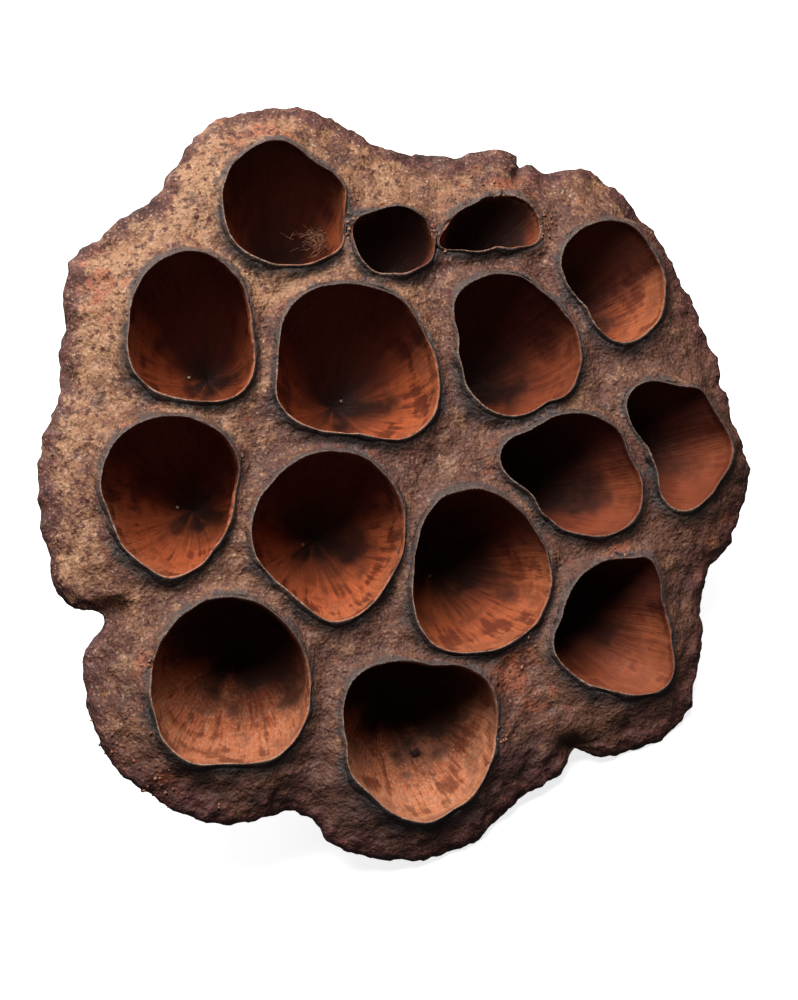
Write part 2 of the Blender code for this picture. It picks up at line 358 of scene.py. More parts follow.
COLLAR_HEIGHT, COLLAR_WIDTH = 0.62, 1.0
FACE_SINKS, FACE_SINKS_OVER = 0.45, 2.4
WRINKLE, WRINKLE_SIZE = 0.38, 3.4
PUCKER, PUCKER_SIZE = 0.2, 1.2
CREASE, CREASE_RING = 0.12, 24.0
CRUMBLE, CRUMBLE_SIZE = 0.24, 1.8
SCALLOP, SCALLOP_RING = 0.2, 8.0
FIBRE, FIBRE_RING = 0.4, 20.0
# How far from a mouth the open skin starts and is full, and the same for the creases towards the edge.
OPEN_FROM, OPEN_FULL, CREASE_FROM, CREASE_FULL = 0.2, 1.6, 0.8, 0.95
# Where the face, the rim and the cone start and are full, by height, and for the rim by reach as well.
FACE_FROM, FACE_FULL = -4.0, -2.0
RIM_FROM, RIM_FULL, RIM_LOWEST, RIM_LOW = 0.86, 0.97, -10.0, -7.0
CONE_FROM, CONE_FULL = -7.0, -13.0
# Places where the rim broke: angle, half width and depth.
BREAKS = ((67.0, 0.9, 1.1), (206.0, 2.0, 1.3), (306.0, 2.2, 1.9), (141.0, 1.2, 0.6), (18.0, 1.5, 0.6))


def weathered(places, normals):
    """The skin as it dried: collars, wrinkles, a crumbling rim, and a cone creased along its length."""
    reach, angles, heights = round_axis(places)
    out = reach / EDGE_AT(angles)
    on_face = blend(FACE_FROM, FACE_FULL, heights)
    on_rim = blend(RIM_FROM, RIM_FULL, out) * blend(RIM_LOWEST, RIM_LOW, heights)
    on_cone = blend(CONE_FROM, CONE_FULL, heights)
    gap, _, gone = mouth_distance(places)
    gap = np.maximum(gap, 0.0)
    collars = COLLAR_HEIGHT * (1.0 - gone) * np.exp(-((gap / COLLAR_WIDTH) ** 2))
    sunk = FACE_SINKS * (1.0 - np.exp(-((gap / FACE_SINKS_OVER) ** 2)))
    open_skin = blend(OPEN_FROM, OPEN_FULL, gap)
    raised = on_face * (collars - sunk)
    raised += open_skin * WRINKLE * lumps(places, WRINKLE_SIZE, octaves=3)
    raised += open_skin * PUCKER * lumps(places, PUCKER_SIZE, 7.0, 2)
    creases = lumps(ring_places(angles, CREASE_RING, reach / 4.0), 1.0, 3.0, 2)
    raised += CREASE * blend(CREASE_FROM, CREASE_FULL, out) * (1.0 - on_cone) * creases
    raised += CRUMBLE * on_rim * lumps(places, CRUMBLE_SIZE, 11.0, 3)
    raised += SCALLOP * on_rim * lumps(ring_places(angles, SCALLOP_RING, heights / 9.0), 1.0, 5.0, 4)
    raised += FIBRE * on_cone * lumps(ring_places(angles, FIBRE_RING, heights / 9.0), 1.0, 9.0, 2)
    for angle, half_width, depth in BREAKS:
        off = turned_from(np.degrees(angles), angle)
        raised -= depth * on_rim * np.exp(-((off / half_width) ** 2))
    return places + normals * raised[:, None]


def hollow(letter, centre):
    """The space that a seed cup is set in, open past the face."""
    depth = DEPTH[letter]
    section = [(0.0, HOLLOW_TOP), (1.0, HOLLOW_TOP)] + [(1.0, -part * depth) for part in HOLLOW_RINGS]
    space = piece_from("hollow_" + letter, spun(section + [(0.0, -depth)], HOLLOW_SIDES))
    flat = read_places(space.data)
    part = np.clip(-flat[:, 2] / depth, 0.0, 1.0)
    grow = HOLLOW_EDGE + (HOLLOW_WALL - HOLLOW_EDGE) * part
    place_points(space.data, cup_places(letter, centre, flat, part, grow, flat[:, 2] - HOLLOW_FLOOR * part))
    return space


def cup_places(letter, centre, flat, part, grow, heights):
    """Places round a cup's mouth, grown by a width, at a part of its depth and at heights over the face."""
    angles = np.arctan2(flat[:, 1], flat[:, 0])
    reach = MOUTH_AT[letter](angles) * (1.0 - part) + MEAN_REACH[letter] * part
    reach = (reach * cup_width(part) + grow) * np.hypot(*flat[:, :2].T)
    lean = 1.0 - part * DEPTH[letter] / CUPS_MEET
    x = centre[0] * lean + reach * np.cos(angles)
    y = centre[1] * lean + reach * np.sin(angles)
    return np.stack([x, y, heights - FACE_DOME * (x * x + y * y)], axis=1)


def channel(number):
    """An air channel of the stalk, open at the cut end."""
    shape = bmesh.new()
    ends = {"radius1": CHANNEL_RADIUS, "radius2": CHANNEL_RADIUS, "depth": 2.0 * CHANNEL_DEPTH}
    bmesh.ops.create_cone(shape, cap_ends=True, segments=16, **ends)
    angle = math.tau * number / CHANNELS
    ring = CHANNEL_RING if number else 0.0
    place = (ring * math.cos(angle), ring * math.sin(angle), STUMP_END)
    bmesh.ops.translate(shape, verts=shape.verts, vec=place)
    return piece_from(f"channel_{number}", shape)


section = smooth_line(SECTION, SECTION_STEPS) + [Vector((0.0, STUMP_END))]
receptacle = piece_from("receptacle", spun(section, BODY_SIDES))
place_points(receptacle.data, grown(read_places(receptacle.data)))
remesh = receptacle.modifiers.new("Skin", "REMESH")
remesh.mode = "VOXEL"
remesh.voxel_size = SKIN_GRID
skin = finish_modifiers(receptacle)
place_points(skin, weathered(read_places(skin), read_places(skin, "normal")))

cutters = bpy.data.collections.new("hollows")
bpy.context.scene.collection.children.link(cutters)
hollows = [hollow(letter, centre) for letter, centre, _ in CUPS]
for cutter in hollows + [channel(number) for number in range(CHANNELS + 1)]:
    bpy.context.scene.collection.objects.unlink(cutter)
    cutters.objects.link(cutter)
cut = receptacle.modifiers.new("Hollows", "BOOLEAN")
cut.operation = "DIFFERENCE"
cut.operand_type = "COLLECTION"
cut.collection = cutters
cut.solver = "MANIFOLD"
skin = finish_modifiers(receptacle)
for cutter in list(cutters.objects):
    bpy.data.objects.remove(cutter)
bpy.data.collections.remove(cutters)

# What the skin's colours follow: the side that is darkest, partly from the skin's own age and partly
# painted shade on the side and the foot that face away from the light, and the places that went rusty,
# each with its middle, its half width and how rusty it is.
DARKER_SIDE = (0.75, -0.66)
DARKER_FROM, DARKER_TO = -34.0, 32.0
DARKER_FOOT, FOOT_FROM, FOOT_TO = 0.6, -22.0, -33.0
RUSTY = (
    ((-14.0, 35.5), 7.0, 0.55), ((-31.0, 20.0), 5.0, 0.6), ((13.0, 31.5), 3.5, 0.7),
    ((23.3, -6.8), 1.6, 1.0), ((-24.5, -18.8), 1.3, 1.0), ((12.5, -19.0), 4.0, 0.7),
    ((36.0, -6.0), 3.5, 0.5), ((-22.0, -30.5), 3.0, 0.8), ((-33.0, -16.0), 3.0, 0.6),
    ((-26.0, 5.5), 4.0, 0.4),
)
STREAK_RING, STREAK_LENGTH = 16.0, 8.0
# The dark margin, by reach and height, the height where the cone's brown starts, and how far from a
# mouth counts as far, as everything below the face does.
MARGIN_FROM, MARGIN_FULL, MARGIN_LOWEST, MARGIN_LOW = 0.885, 1.01, -11.0, -6.0
BROWN_FROM, BROWN_FULL = -5.0, -8.0
FAR, FAR_FROM, FAR_FULL = 9.0, -3.0, -6.0


def mark_skin(mesh, places):
    """Keeps what the skin's colours follow, for each point."""
    gap, facing, _ = mouth_distance(places)
    reach, angles, heights = round_axis(places)
    out = reach / EDGE_AT(angles)
    mark(mesh, "from_cup", np.clip(gap, 0.0, FAR) + FAR * blend(FAR_FROM, FAR_FULL, heights))
    mark(mesh, "cup_faces_down", facing)
    mark(mesh, "rim", blend(MARGIN_FROM, MARGIN_FULL, out) * blend(MARGIN_LOWEST, MARGIN_LOW, heights))
    mark(mesh, "cone", blend(BROWN_FROM, BROWN_FULL, heights))
    aged_and_shaded = np.clip((places[:, :2] @ DARKER_SIDE - DARKER_FROM) / (DARKER_TO - DARKER_FROM), 0.0, 1.0)
    mark(mesh, "aged_and_shaded", aged_and_shaded + DARKER_FOOT * blend(FOOT_FROM, FOOT_TO, places[:, 1]))
    rusty = np.zeros(len(places))
    for middle, half_width, strength in RUSTY:
        rusty += strength * np.exp(-(np.sum((places[:, :2] - middle) ** 2, axis=1) / half_width**2))
    mark(mesh, "rusty", np.clip(rusty, 0.0, 1.0))
    mark(mesh, "streaks", ring_places(angles, STREAK_RING, heights / STREAK_LENGTH))


skin_places = read_places(skin)
mark_skin(skin, skin_places)
lay_down(skin)


def node(tree, kind, inputs=None, **settings):
    """A new node, with its settings and with its inputs as values or as other nodes' outputs."""
    made = tree.nodes.new("ShaderNode" + kind)
    for name, value in settings.items():
        setattr(made, name, value)
    for name, value in (inputs or {}).items():
        if isinstance(value, bpy.types.NodeSocket):
            tree.links.new(value, made.inputs[name])
        else:
            made.inputs[name].default_value = value
    return made


def marked(tree, name, output="Fac"):
    """What was kept for each point of the mesh."""
    return node(tree, "Attribute", attribute_name=name).outputs[output]


def in_millimetres(tree):
    """Places on the pod, in millimetres."""
    place = node(tree, "TexCoord").outputs["Object"]
    return node(tree, "VectorMath", {0: place, "Scale": 1.0 / MM}, operation="SCALE").outputs[0]


def cloudy(tree, place, size, detail=3.0, roughness=0.5):
    """Noise of 0 to 1 with lumps of a size, in the units of the places."""
    inputs = {"Vector": place, "Scale": 1.0 / size, "Detail": detail, "Roughness": roughness}
    return node(tree, "TexNoise", inputs).outputs["Fac"]


def step(tree, value, low, high, start=0.0, end=1.0):
    """A smooth step from start to end, as a value goes from low to high."""
    inputs = {"Value": value, "From Min": low, "From Max": high, "To Min": start, "To Max": end}
    return node(tree, "MapRange", inputs, interpolation_type="SMOOTHSTEP").outputs[0]


def sums(tree, operation, one, other):
    """One value and another, added, multiplied or joined in another way."""
    return node(tree, "Math", {0: one, 1: other}, operation=operation).outputs[0]


def mixed(tree, part, one, other):
    """One colour, going over to another."""
    colours = [(*c, 1.0) if isinstance(c, tuple) else c for c in (one, other)]
    inputs = {0: part, 6: colours[0], 7: colours[1]}
    return node(tree, "Mix", inputs, data_type="RGBA").outputs[2]


def bumped(tree, height, distance, before=None):
    """A normal that rises with a height, by a distance in millimetres, on top of another."""
    inputs = {"Height": height, "Distance": distance * MM, "Strength": 1.0}
    if before is not None:
        inputs["Normal"] = before
    return node(tree, "Bump", inputs).outputs[0]


def new_material(name):
    """A material, with its tree and its shader."""
    material = bpy.data.materials.new(name)
    material.use_nodes = True
    return material, material.node_tree, material.node_tree.nodes["Principled BSDF"]


def swayed(tree, value, by, amount):
    """A value moved up and down by noise, by an amount."""
    return sums(tree, "ADD", value, sums(tree, "MULTIPLY", sums(tree, "SUBTRACT", by, 0.5), amount))


# Linear colours of the skin.
TAN, CLAY = (0.29, 0.148, 0.076), (0.185, 0.078, 0.039)
BARK, UMBER = (0.098, 0.038, 0.022), (0.056, 0.022, 0.016)
PLUM, RUST, CHAR = (0.052, 0.017, 0.014), (0.25, 0.064, 0.028), (0.012, 0.008, 0.008)
SPECK, MARGIN, FLECK = (0.066, 0.015, 0.010), (0.060, 0.018, 0.015), (0.17, 0.060, 0.042)
RIB_HOLLOW, RIB_CREST = (0.030, 0.017, 0.013), (0.115, 0.058, 0.034)
SLATE, ASH = (0.050, 0.037, 0.034), (0.090, 0.056, 0.042)
LIP_SHADOW, BONE = (0.018, 0.014, 0.013), (0.50, 0.35, 0.23)


def skin_tone(tree, place, mottles, blots, grain):
    """The skin's colour away from the mouths."""
    patches = cloudy(tree, place, 6.5, 3.0, 0.55)
    # The skin darkens towards one side and its foot: partly its own age, partly painted shade where it
    # faces away from the light.
    aged_and_shaded = marked(tree, "aged_and_shaded")
    age_and_shade = swayed(tree, swayed(tree, aged_and_shaded, patches, 1.2), mottles, 1.2)
    colour = mixed(tree, step(tree, age_and_shade, -0.25, 0.35), TAN, CLAY)
    colour = mixed(tree, step(tree, age_and_shade, 0.08, 0.55), colour, BARK)
    colour = mixed(tree, step(tree, age_and_shade, 0.95, 1.5), colour, UMBER)

    # Folds of the skin, the same lumps as the broad bump: painted shade darkens their hollows, and painted
    # light makes their crests paler, most on the lighter side.
    folds = cloudy(tree, place, 2.4, 4.0, 0.62)
    colour = mixed(tree, step(tree, folds, 0.47, 0.33, 0.0, 0.7), colour, UMBER)
    lit_crests = sums(tree, "MULTIPLY", step(tree, folds, 0.54, 0.68), step(tree, age_and_shade, 1.6, 0.3, 0.25, 0.5))
    colour = mixed(tree, lit_crests, colour, TAN)

    # Rust and purple mottles, which gather where the skin was bruised.
    rust = swayed(tree, marked(tree, "rusty"), cloudy(tree, place, 2.2, 3.0, 0.65), 3.2)
    colour = mixed(tree, step(tree, rust, 0.3, 1.0, 0.0, 0.75), colour, RUST)
    bruise = swayed(tree, blots, patches, 0.9)
    colour = mixed(tree, step(tree, bruise, 0.53, 0.66, 0.0, 0.6), colour, PLUM)

    # Dark specks, with ragged edges.
    scattered = node(tree, "TexNoise", {"Vector": place, "Scale": 2.4, "Detail": 2.0}).outputs["Color"]
    ragged = node(tree, "VectorMath", {0: place, 1: scattered}, operation="ADD").outputs[0]
    cells = node(tree, "TexVoronoi", {"Vector": ragged, "Scale": 0.95}).outputs["Distance"]
    crowded = step(tree, swayed(tree, cloudy(tree, place, 4.5, 2.0), aged_and_shaded, -0.25), 0.42, 0.58)
    speckled = sums(tree, "MULTIPLY", step(tree, cells, 0.4, 0.2), crowded)
    colour = mixed(tree, sums(tree, "MULTIPLY", speckled, 0.92), colour, SPECK)

    # The margin, dark and crumbly.
    margin = swayed(tree, swayed(tree, marked(tree, "rim"), mottles, 1.6), patches, 1.2)
    colour = mixed(tree, step(tree, margin, 0.45, 0.8, 0.0, 0.85), colour, MARGIN)
    colour = mixed(tree, step(tree, margin, 0.9, 1.3, 0.0, 0.6), colour, CHAR)
    flecks = sums(tree, "MULTIPLY", step(tree, blots, 0.54, 0.64, 0.0, 0.65), step(tree, margin, 0.4, 0.7))
    colour = mixed(tree, flecks, colour, FLECK)

    # The cone, brown with darker and paler streaks along its ribs.
    streaks = cloudy(tree, marked(tree, "streaks", "Vector"), 0.55, 3.0)
    ribbed = mixed(tree, step(tree, streaks, 0.35, 0.65), RIB_HOLLOW, RIB_CREST)
    colour = mixed(tree, step(tree, marked(tree, "cone"), 0.0, 1.0, 0.0, 0.75), colour, ribbed)
    # Painted shade darkens the pits of the fine grain that the finest bump follows, and painted highlights
    # make its tops pale on the lighter side.
    colour = mixed(tree, step(tree, grain, 0.5, 0.32, 0.0, 0.6), colour, CHAR)
    pale = sums(tree, "MULTIPLY", step(tree, grain, 0.58, 0.7, 0.0, 0.55), step(tree, age_and_shade, 1.2, 0.0))
    return mixed(tree, pale, colour, BONE)


def skin_look(tree):
    """The skin's colour, roughness and normal."""
    place = in_millimetres(tree)
    mottles = cloudy(tree, place, 1.7, 3.0, 0.6)
    blots = cloudy(tree, place, 0.8, 3.0, 0.6)
    grain = cloudy(tree, place, 0.3, 3.0, 0.6)
    colour = skin_tone(tree, place, mottles, blots, grain)

    # The skin round each mouth is slate grey; below it, where the collar faces down, painted shade makes
    # it nearly black and the band wider, for the shadow under the lip.
    downward = marked(tree, "cup_faces_down")
    from_cup = swayed(tree, marked(tree, "from_cup"), cloudy(tree, place, 2.8, 3.0, 0.6), 2.6)
    from_cup = swayed(tree, from_cup, blots, 1.2)
    reach = step(tree, downward, -0.2, 0.9, 0.95, 2.1)
    halo = step(tree, from_cup, reach, 0.3)
    slate = mixed(tree, step(tree, blots, 0.45, 0.65, 0.0, 0.7), SLATE, ASH)
    collar_and_lip_shadow = mixed(tree, step(tree, downward, -0.3, 0.6), slate, LIP_SHADOW)
    colour = mixed(tree, sums(tree, "MULTIPLY", halo, 0.93), colour, collar_and_lip_shadow)

    normal = bumped(tree, cloudy(tree, place, 2.4, 3.0, 0.62), 0.7)
    normal = bumped(tree, mottles, 0.35, normal)
    normal = bumped(tree, blots, 0.18, normal)
    normal = bumped(tree, grain, 0.10, normal)
    return colour, step(tree, mottles, 0.3, 0.7, 0.55, 0.8), normal


leather, tree, shader = new_material("dried_leathery_skin")
colour, roughness, normal = skin_look(tree)
tree.links.new(colour, shader.inputs["Base Color"])
tree.links.new(roughness, shader.inputs["Roughness"])
tree.links.new(normal, shader.inputs["Normal"])
shader.inputs["Specular IOR Level"].default_value = 0.3
skin.materials.clear()
skin.materials.append(leather)

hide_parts("lotus_pod")
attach(receptacle, "root")


# The seed cups: each seed sat in a smooth, fibrous pocket, which dried to a satin, orange-brown shell.
# Its mouth shrank back to a thin, curled lip that stands out of the face, dark outside, with a pale
# papery edge. Some lips tore as the seeds fell out.
CUP_SIDES = 180
WALL_ROWS = 36
WALL_SPREAD = 1.5
# A lip, from the wall over its crest, as grow and height, and the root of the cup's back, as grow,
# height and part of the depth.
LIP_LINE = (
    (0.0, 0.0), (0.0, 0.5), (0.03, 0.8), (0.1, 0.94), (0.22, 0.92), (0.37, 0.76), (0.54, 0.46),
    (0.72, 0.08), (0.88, -0.5),
)
LIP_STEPS = 2
LIP_ROOM, LIP_LEAST = 2.4, 0.25
BACK_ROOT = ((0.6, -1.3, 0.0), (0.45, -1.2, 0.1), (0.36, -0.6, 0.2))
BACK_GROW, BACK_ROWS, BACK_END, BACK_FLOOR = 0.32, 14, 0.97, 0.3
LIP_WOBBLE, LIP_WOBBLE_SIZE = 0.3, 3.2
LIP_SPREAD, LIP_SPREAD_SIZE = 0.6, 2.0
LIP_NICKS, LIP_NICKS_SIZE = 0.16, 0.6
LIP_TEARS = 0.6
MOUTH_JITTER, MOUTH_JITTER_SIZE = 0.16, 2.2
DENT, DENT_SIZE = 0.14, 4.5
FIBRES_ROUND, FIBRES_ALONG = 18.0, 4.0
WALL_FIBRE, WALL_PLEAT, PLEAT_SIZE = 0.03, 0.06, 2.4
# The seeds' scars, and a hole that tore in one wall, drawn as a small dent whose opening is painted
# shade: the cup, the place, the size and the dent's depth.
SCARS = {
    "e": (-18.44, 11.66, -13.44), "f": (-2.54, 9.76, -13.76), "j": (-19.68, -1.73, -13.52),
    "k": (-6.48, -5.31, -13.53), "l": (7.02, -8.32, -13.5),
}
HOLE_CUP, HOLE_PLACE, HOLE_SIZE, HOLE_DEPTH = "o", (4.6, -26.65, -10.26), 0.62, 0.3


def cup_rows(depth):
    """Rows of a cup, from its bottom up the wall, over the lip and down its back: grow, part, height."""
    rows = []
    for k in range(WALL_ROWS):
        part = 1.0 - (k / WALL_ROWS) ** WALL_SPREAD
        rows.append((0.0, part, -part * depth))
    rows += [(grow, 0.0, height) for grow, height in smooth_line(LIP_LINE, LIP_STEPS)]
    down = [(BACK_GROW, 0.0, part) for part in np.linspace(BACK_ROOT[-1][2], BACK_END, BACK_ROWS)[1:]]
    back = [*BACK_ROOT, *down]
    rows += [(grow, part, height - part * (depth + BACK_FLOOR)) for grow, height, part in back]
    return np.array(rows + [(0.0, 1.0, -depth - BACK_FLOOR)])


def lip_width(letter, centre, angles):
    """The part of its full width that a lip has room for, between its mouth and the nearest other one."""
    whole = np.arange(361.0)
    reach = MOUTH_AT[letter](np.radians(whole))
    edge = np.stack([reach * np.cos(np.radians(whole)), reach * np.sin(np.radians(whole))], axis=1) + centre
    room, _, _ = mouth_distance(edge, but=letter)
    return np.interp(np.degrees(angles) % 360.0, whole, np.clip(room / LIP_ROOM, LIP_LEAST, 1.0))


def seed_cup(letter, centre, number):
    """A seed cup: a thin closed shell, turned and then moved to its mouth's outline."""
    rows = cup_rows(DEPTH[letter])
    last = len(rows) - 1
    section = [(0.0, 0.0)] + [(1.0, float(k)) for k in range(1, last)] + [(0.0, float(last))]
    cup = piece_from("seed_cup_" + letter, spun(section, CUP_SIDES))
    mesh = cup.data
    # The section runs up the inside of the wall and down its outside, so its faces come out turned in.
    mesh.flip_normals()
    flat = read_places(mesh)
    row = flat[:, 2]
    angles = np.arctan2(flat[:, 1], flat[:, 0])
    grow, part, heights = (np.interp(row, np.arange(last + 1), rows[:, k]) for k in range(3))
    ring = MEAN_REACH[letter]
    shift = 10.0 * number
    outer = blend(WALL_ROWS - 14.0, WALL_ROWS, row)
    on_lip = np.clip(heights, 0.0, 1.0)
    back = last - len(BACK_ROOT) - BACK_ROWS + 1.0
    seen = blend(back, back - 3.0, row)
    round_mouth = ring_places(angles, ring, 0.0 * row)
    wobble = LIP_WOBBLE * lumps(round_mouth, LIP_WOBBLE_SIZE, shift)
    wobble += LIP_NICKS * lumps(round_mouth, LIP_NICKS_SIZE, shift)
    gone = torn(letter, angles)
    ragged = 1.0 + LIP_TEARS * lumps(round_mouth, LIP_NICKS_SIZE, shift + 3.0, 2)
    jitter = MOUTH_JITTER * lumps(round_mouth, MOUTH_JITTER_SIZE, shift + 5.0)
    fibres = ring_places(angles, FIBRES_ROUND, FIBRES_ALONG * row / WALL_ROWS)
    rough = WALL_FIBRE * lumps(fibres, 1.0, shift) + WALL_PLEAT * lumps(fibres, PLEAT_SIZE, shift + 7.0)
    rough *= blend(4.0, 22.0, row) * (1.0 - on_lip)
    spread = 1.0 + LIP_SPREAD * lumps(round_mouth, LIP_SPREAD_SIZE, shift + 9.0)
    grow = grow * lip_width(letter, centre, angles) * spread + seen * (jitter * outer + rough)
    heights = heights * (1.0 - gone * ragged * (heights > 0.0)) + on_lip * wobble * (1.0 - 0.5 * gone)
    shaped = cup_places(letter, centre, flat, part, grow, heights)
    dents = DENT * lumps(shaped, DENT_SIZE, shift) * (1.0 - outer)
    away = np.linalg.norm(shaped - HOLE_PLACE, axis=1) / HOLE_SIZE
    hole = (letter == HOLE_CUP) * np.exp(-(away**4)) * seen
    dents = (dents * seen + HOLE_DEPTH * hole) * np.hypot(*flat[:, :2].T)
    shaped[:, :2] += dents[:, None] * flat[:, :2]
    place_points(mesh, shaped)
    if letter in SCARS:
        wall = shaped[row < WALL_ROWS]
        scar_places.append(wall[np.argmin(np.linalg.norm(wall - SCARS[letter], axis=1))])
    mark(mesh, "fibres", fibres)
    browned_and_shaded, painted_sheen, painted_wall_shade = CUP_TONES[letter]
    mark(mesh, "deep", np.clip(1.0 - row / WALL_ROWS, 0.0, 1.0))
    mark(mesh, "painted_wall_shade", painted_wall_shade * (0.4 + 0.6 * blend(-0.3, 0.6, np.sin(angles))))
    crest = WALL_ROWS + LIP_STEPS * 3.0
    mark(mesh, "lip", blend(crest - 1.0, crest + 2.0, row))
    mark(mesh, "edge", np.exp(-(((row - crest) / 1.1) ** 2)) * (1.0 - np.clip(gone, 0.0, 1.0)))
    mark(mesh, "torn", np.clip(gone, 0.0, 1.0) * blend(WALL_ROWS - 3.0, WALL_ROWS, row))
    mark(mesh, "hole", hole)
    mark(mesh, "side", np.cos(angles - math.radians(PALE_SIDE)))
    mark(mesh, "low_side", -np.sin(angles))
    mark(mesh, "browned_and_shaded", np.full(len(row), browned_and_shaded))
    mark(mesh, "painted_sheen", np.full(len(row), painted_sheen))
    mark_skin(mesh, shaped)
    # The lip's outside and the cup's back are skin, like the face, and the rest is lining.
    for face in mesh.polygons:
        face.material_index = int(min(row[corner] for corner in face.vertices) > crest + 1.0)
    lay_down(mesh)
    return cup


# The side of a mouth, in degrees, where its papery edge is palest: painted light, the same side on every
# mouth.
PALE_SIDE = 200.0
# How far a cup's lining is darkened to chestnut, partly a browner lining and partly painted shade; how
# much painted sheen it carries; and how much painted shade darkens its upper wall.
CUP_TONES = {
    "a": (0.25, 0.0, 0.1), "b": (0.9, 0.0, 0.8), "c": (0.8, 0.0, 0.8), "d": (0.3, 0.2, 0.2),
    "e": (0.0, 0.0, 0.0), "f": (0.0, 0.0, 0.0), "g": (0.85, 0.0, 0.1), "h": (0.95, 0.1, 0.4),
    "i": (0.95, 0.0, 0.3), "j": (0.0, 0.0, 0.0), "k": (0.0, 0.1, 0.1), "l": (0.3, 0.1, 0.3),
    "m": (0.8, 0.25, 0.4), "n": (0.3, 0.6, 0.5), "o": (0.2, 0.7, 0.5),
}
AMBER, CHESTNUT, SHADE_BLACK = (0.32, 0.072, 0.025), (0.115, 0.025, 0.011), (0.016, 0.006, 0.005)
HONEY, SHEEN_BUFF, MAROON = (0.42, 0.140, 0.060), (0.43, 0.215, 0.125), (0.036, 0.0065, 0.0045)
CREAM, FRAYED = (0.34, 0.27, 0.20), (0.26, 0.11, 0.055)

lining, tree, shader = new_material("satin_cup_lining")
place = in_millimetres(tree)
fibres = marked(tree, "fibres", "Vector")
fine = cloudy(tree, fibres, 0.32, 3.0, 0.6)
strands = cloudy(tree, fibres, 1.5, 3.0, 0.55)
arms = cloudy(tree, fibres, 13.0, 1.0)
blotches = cloudy(tree, place, 3.5, 3.0, 0.55)
deep = marked(tree, "deep")
low_side = marked(tree, "low_side")
dark_strands = step(tree, swayed(tree, strands, blotches, 1.2), 0.62, 0.35, 0.0, 0.6)
colour = mixed(tree, dark_strands, AMBER, CHESTNUT)
# Paler honey fibres from noise, with painted light towards the mouth, where light reaches in, and more with
# the painted sheen.
pale_fibre_and_light = sums(tree, "MULTIPLY", marked(tree, "painted_sheen"), 0.5)
pale_fibre_and_light = sums(tree, "ADD", step(tree, deep, 0.6, 0.0, -0.2, 0.35), pale_fibre_and_light)
pale_fibre_and_light = swayed(tree, swayed(tree, pale_fibre_and_light, fine, 1.1), blotches, 0.8)
colour = mixed(tree, step(tree, pale_fibre_and_light, 0.0, 0.75, 0.0, 0.9), colour, HONEY)
# Painted sheen: pale buff flecks over the fibres stand for the satin shine of the lit walls, in the cups
# that carry it.
grit = cloudy(tree, place, 0.35, 3.0, 0.65)
painted_sheen = swayed(tree, swayed(tree, marked(tree, "painted_sheen"), fine, 1.3), grit, 3.0)
painted_sheen = swayed(tree, painted_sheen, blotches, 1.6)
colour = mixed(tree, step(tree, painted_sheen, 0.45, 1.15, 0.0, 0.85), colour, SHEEN_BUFF)
colour = mixed(tree, step(tree, fine, 0.45, 0.3, 0.0, 0.25), colour, CHESTNUT)
streaks = step(tree, swayed(tree, strands, blotches, 1.6), 0.5, 0.25, 0.0, 0.6)
colour = mixed(tree, sums(tree, "MULTIPLY", streaks, step(tree, deep, 0.7, 0.4)), colour, MAROON)
colour = mixed(tree, step(tree, blotches, 0.5, 0.68, 0.0, 0.55), colour, CHESTNUT)
# Whole cups darkened to chestnut: partly a browner lining, partly painted shade in the small cups and the
# cups on the darker side.
colour = mixed(tree, sums(tree, "MULTIPLY", marked(tree, "browned_and_shaded"), 0.85), colour, CHESTNUT)
# Painted shade: the upper wall goes maroon, and the depths and the upper wall go nearly black, for the
# shadow under the upper lip, over bottoms that are a little darker of their own.
shaded = swayed(tree, swayed(tree, low_side, arms, 1.2), blotches, 1.0)
colour = mixed(tree, step(tree, shaded, 0.3, -0.65, 0.0, 0.93), colour, MAROON)
painted_wall_shade = sums(tree, "ADD", deep, marked(tree, "painted_wall_shade"))
painted_wall_shade = swayed(tree, swayed(tree, painted_wall_shade, arms, 0.9), blotches, 0.7)
colour = mixed(tree, step(tree, painted_wall_shade, 0.52, 0.98, 0.0, 0.94), colour, SHADE_BLACK)

beads = cloudy(tree, place, 0.26, 2.0, 0.6)
crest_colour = mixed(tree, step(tree, beads, 0.45, 0.65), SLATE, ASH)
colour = mixed(tree, marked(tree, "lip"), colour, crest_colour)
# The papery edge is its own pale colour, made palest on one side of every mouth by painted light.
light_side = swayed(tree, marked(tree, "side"), cloudy(tree, place, 2.6), 3.0)
light_side = step(tree, light_side, -0.7, 0.8, 0.05, 0.7)
papery = sums(tree, "MULTIPLY", marked(tree, "edge"), step(tree, beads, 0.38, 0.6))
colour = mixed(tree, sums(tree, "MULTIPLY", papery, light_side), colour, CREAM)
crumbly = sums(tree, "MULTIPLY", marked(tree, "torn"), step(tree, beads, 0.42, 0.6))
colour = mixed(tree, crumbly, colour, FRAYED)
# Painted shade: a nearly black patch where the torn hole opens.
colour = mixed(tree, step(tree, swayed(tree, marked(tree, "hole"), beads, 1.4), 0.35, 0.6), colour, SHADE_BLACK)
tree.links.new(colour, shader.inputs["Base Color"])
tree.links.new(step(tree, fine, 0.3, 0.7, 0.55, 0.4), shader.inputs["Roughness"])
shader.inputs["Specular IOR Level"].default_value = 0.25
normal = bumped(tree, blotches, 0.25)
normal = bumped(tree, strands, 0.14, normal)
normal = bumped(tree, fine, 0.05, normal)
tree.links.new(normal, shader.inputs["Normal"])

scar_places = []
for number, (letter, centre, _) in enumerate(CUPS):
    cup = seed_cup(letter, centre, number)
    cup.data.materials.append(lining)
    cup.data.materials.append(leather)
    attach(cup, "root")


# The seed scars: a tiny pale bead of dry tissue at the bottom of a cup, where the seed was fed until it
# broke off. It sits a little sunk in the cup's wall.
SCAR_REACH, SCAR_SINK, SCAR_ROUGH = 0.17, 0.03, 0.02
SCAR_BROWN = (0.24, 0.17, 0.13)


